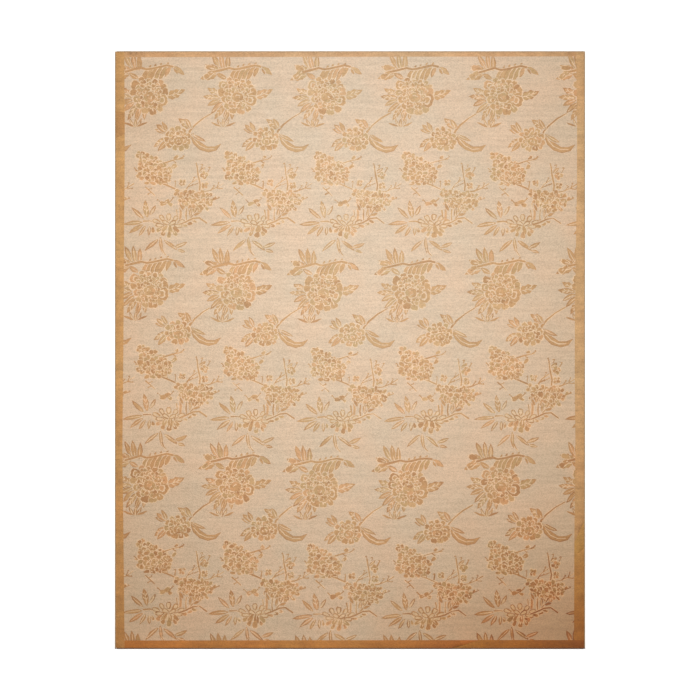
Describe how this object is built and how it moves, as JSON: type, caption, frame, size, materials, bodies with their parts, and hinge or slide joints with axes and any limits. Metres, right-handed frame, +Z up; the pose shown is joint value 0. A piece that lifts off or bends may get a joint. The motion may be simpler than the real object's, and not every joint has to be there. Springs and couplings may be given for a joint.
{
  "type": "tibetan rug",
  "caption": "Flat hand-knotted wool floor rug with an all-over floral field, a plain woven border and overcast edges.",
  "frame": {"origin": "centre of the rug's underside, on the floor", "axes": "+X across the width to the right, +Y along the length to the upper end, +Z up out of the pile"},
  "size_m": [2.4, 3.05, 0.012],
  "materials": {
    "knotted_wool": "matt cut wool pile, greige with gold flowers and a tan border",
    "edging_yarn": "matt tan wool yarn, overcast"
  },
  "bodies": {
    "root": {"rug": "knotted_wool", "side_edging_left": "edging_yarn", "side_edging_right": "edging_yarn", "end_edging_lower": "edging_yarn", "end_edging_upper": "edging_yarn"}
  },
  "joints": []
}
